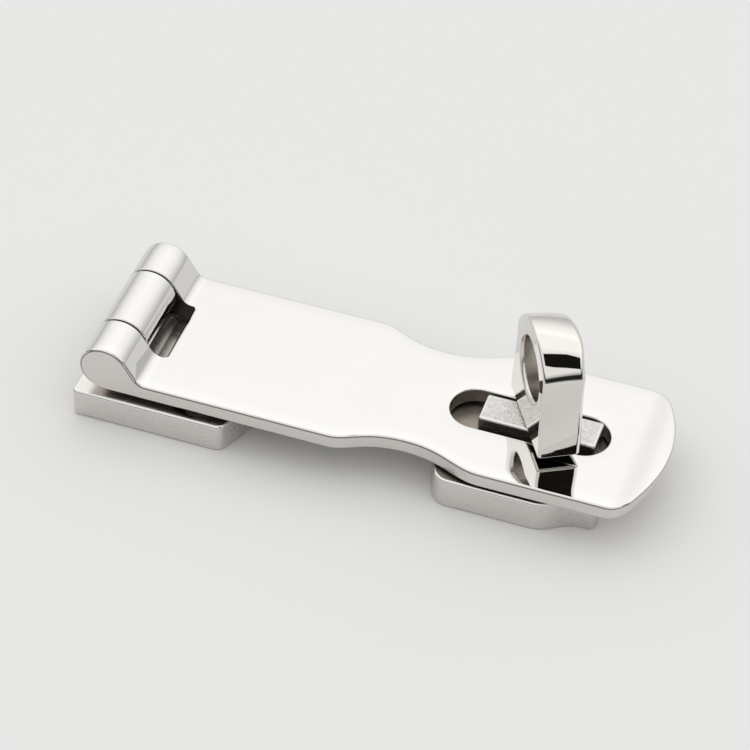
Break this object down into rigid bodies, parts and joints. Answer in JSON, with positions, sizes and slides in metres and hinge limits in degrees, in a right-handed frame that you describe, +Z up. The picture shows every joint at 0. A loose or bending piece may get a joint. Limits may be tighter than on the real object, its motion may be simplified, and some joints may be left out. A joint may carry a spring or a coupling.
{
  "type": "swivel-eye hasp and staple",
  "caption": "Polished steel hasp: a slotted strap hinged on a plate, held down by a staple base whose turning eye takes a padlock.",
  "frame": {"origin": "on the mounting plane, straight below the middle of the hinge pin", "axes": "+X along the strap from the hinge to the nose, +Y along the hinge pin, +Z up out of the mounting plane"},
  "size_m": [0.0948, 0.0302, 0.0303],
  "materials": {
    "mirror_steel": "cast stainless steel polished to a mirror on its faces, linished satin along its side walls",
    "plate_steel": "cast stainless steel, satin side walls with a fine grain and polished upper faces",
    "pin_steel": "drawn stainless steel rod, ends ground flush with the knuckles",
    "spring_steel": "rolled spring steel, plain",
    "washer_steel": "blanked stainless steel, tumbled"
  },
  "bodies": {
    "leaf": {"hinge_plate": "plate_steel"},
    "strap": {"hasp_strap": "mirror_steel", "hinge_pin": "pin_steel"},
    "staple": {"staple_base": "plate_steel", "spring_washer": "spring_steel"},
    "eye": {"swivel_eye": "mirror_steel", "retaining_washer": "washer_steel"}
  },
  "joints": [
    {"name": "strap_swing", "type": "hinge", "parent": "leaf", "child": "strap", "pos_m": [0, 0, 0.0103], "axis": [0, -1, 0], "range_deg": [0, 170]},
    {"name": "staple_lift", "type": "slide", "parent": "strap", "child": "staple", "axis": [0, 0, 1], "range_m": [-0.0005, 0.00025]},
    {"name": "eye_swivel", "type": "hinge", "parent": "staple", "child": "eye", "pos_m": [0.06895, 0, 0.0217], "axis": [0, 0, 1], "continuous": true}
  ]
}
